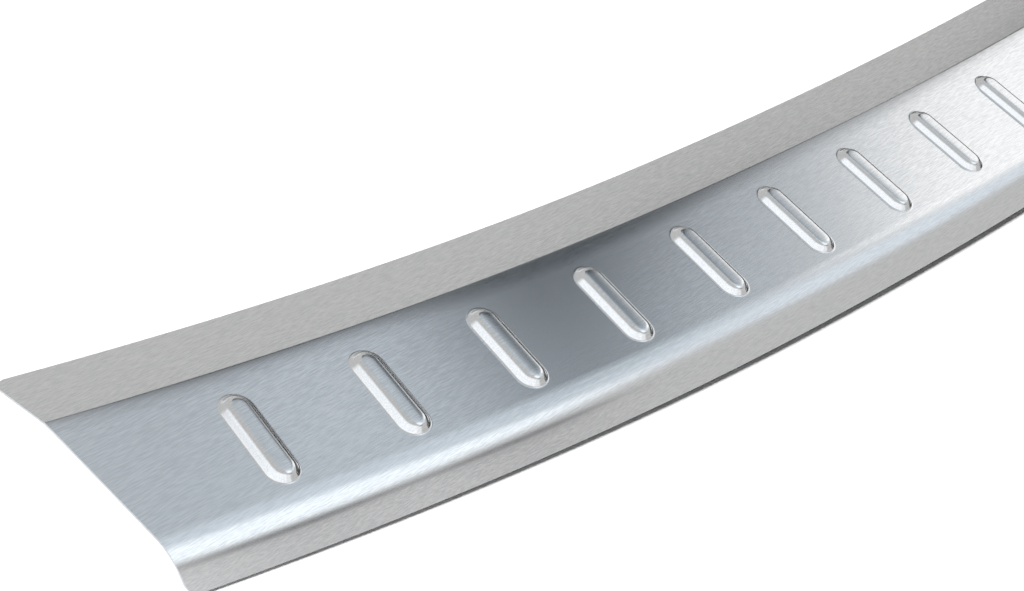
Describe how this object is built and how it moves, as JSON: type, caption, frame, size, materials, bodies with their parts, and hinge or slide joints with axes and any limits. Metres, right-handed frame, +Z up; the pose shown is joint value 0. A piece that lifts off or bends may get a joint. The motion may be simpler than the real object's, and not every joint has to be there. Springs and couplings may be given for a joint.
{
  "type": "loading sill protector",
  "caption": "Long curved plate of brushed steel with a row of raised cross ribs, a shallow rear flange and a rounded front lip, for the top of a rear bumper.",
  "frame": {"origin": "middle of the row of ribs, on the underside of the flat field, which is the face that is bonded down", "axes": "+X along the plate, +Y to the tailgate side with the wide shallow flange, +Z up, out of the ribbed face; the plate's front lip and its convex edge face -Y"},
  "size_m": [1.0488, 0.1338, 0.0108],
  "materials": {
    "brushed_steel": "brushed along its length, satin"
  },
  "bodies": {
    "root": {"sill_plate": "brushed_steel"}
  },
  "joints": []
}
